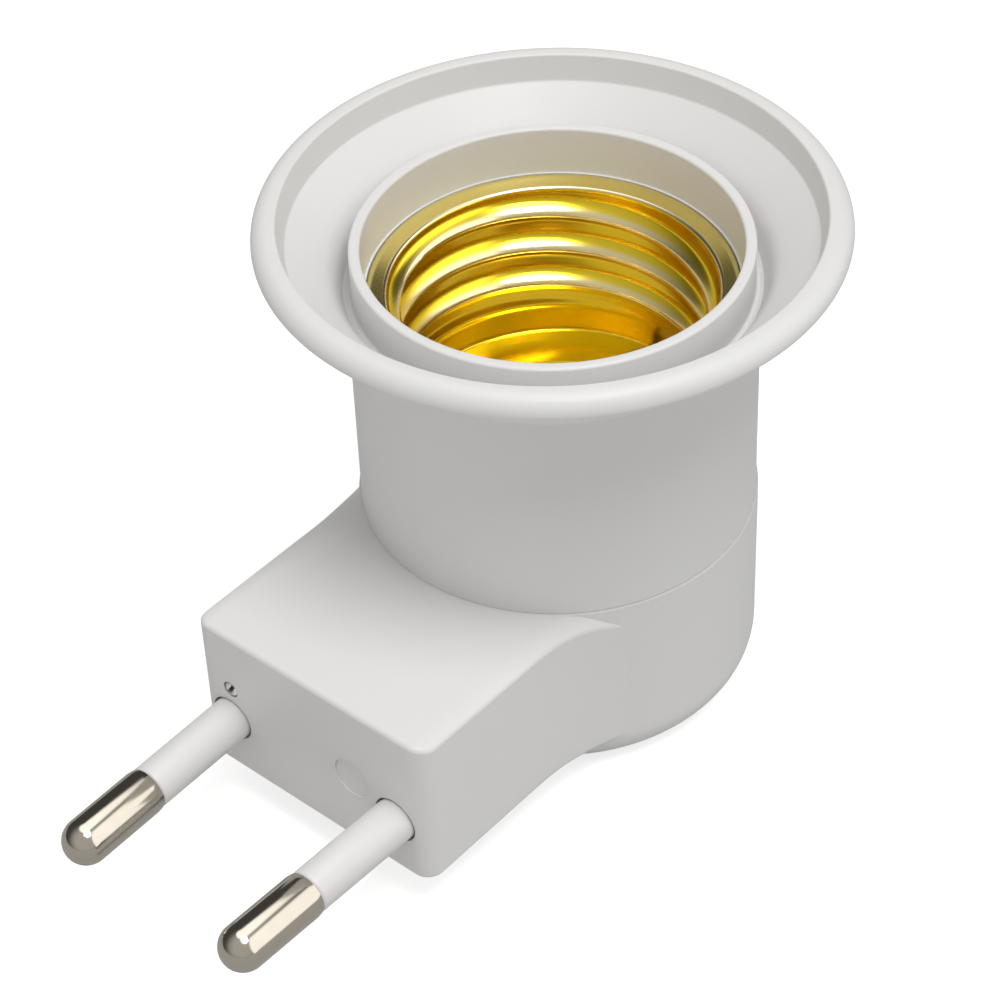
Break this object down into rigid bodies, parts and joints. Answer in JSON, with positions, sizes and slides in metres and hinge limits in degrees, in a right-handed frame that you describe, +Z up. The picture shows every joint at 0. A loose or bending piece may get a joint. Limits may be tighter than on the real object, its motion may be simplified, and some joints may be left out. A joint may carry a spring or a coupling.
{
  "type": "plug-in lamp holder",
  "caption": "Screw lamp socket in a flared bell on an elbow housing that plugs straight into a mains socket by two round pins.",
  "frame": {"origin": "centre of the drum's flat underside, on the lamp axis, where the holder stands on a table", "axes": "+Z up the lamp axis out of the bell, pins along -Y, +X to the right seen from the pins' side"},
  "size_m": [0.0476, 0.0743, 0.0468],
  "materials": {
    "shell_white": "satin white moulding",
    "core_white": "off-white insulating moulding",
    "shell_gold": "bright gold-coloured rolled sheet",
    "spring_brass": "plain pressed brass",
    "pin_nickel": "bright nickel plating",
    "pin_insulation": "white insulating sleeve",
    "screw_steel": "zinc-plated steel",
    "wire_brown": "brown wire insulation",
    "wire_blue": "blue wire insulation"
  },
  "bodies": {
    "holder": {"bell_sleeve": "shell_white", "upper_housing": "shell_white", "base_cover": "shell_white", "socket_core": "core_white", "screw_shell": "shell_gold", "contact_leaf": "spring_brass", "contact_rivet": "spring_brass", "shell_rivet_front": "spring_brass", "shell_rivet_rear": "spring_brass", "live_tag": "spring_brass", "neutral_tag": "spring_brass", "pin_left": "pin_nickel", "pin_right": "pin_nickel", "pin_sleeve_left": "pin_insulation", "pin_sleeve_right": "pin_insulation", "cover_screw_front": "screw_steel", "cover_screw_rear_left": "screw_steel", "cover_screw_rear_right": "screw_steel", "core_screw_left": "screw_steel", "core_screw_right": "screw_steel", "face_screw": "pin_nickel", "live_wire": "wire_brown", "neutral_wire": "wire_blue"},
    "contact": {"contact_tip": "spring_brass"}
  },
  "joints": [
    {"name": "contact_press", "type": "slide", "parent": "holder", "child": "contact", "axis": [0, 0, -1], "range_m": [0, 0.0012], "stiffness_N_per_m": 1500, "deforming": ["contact_leaf"]}
  ]
}
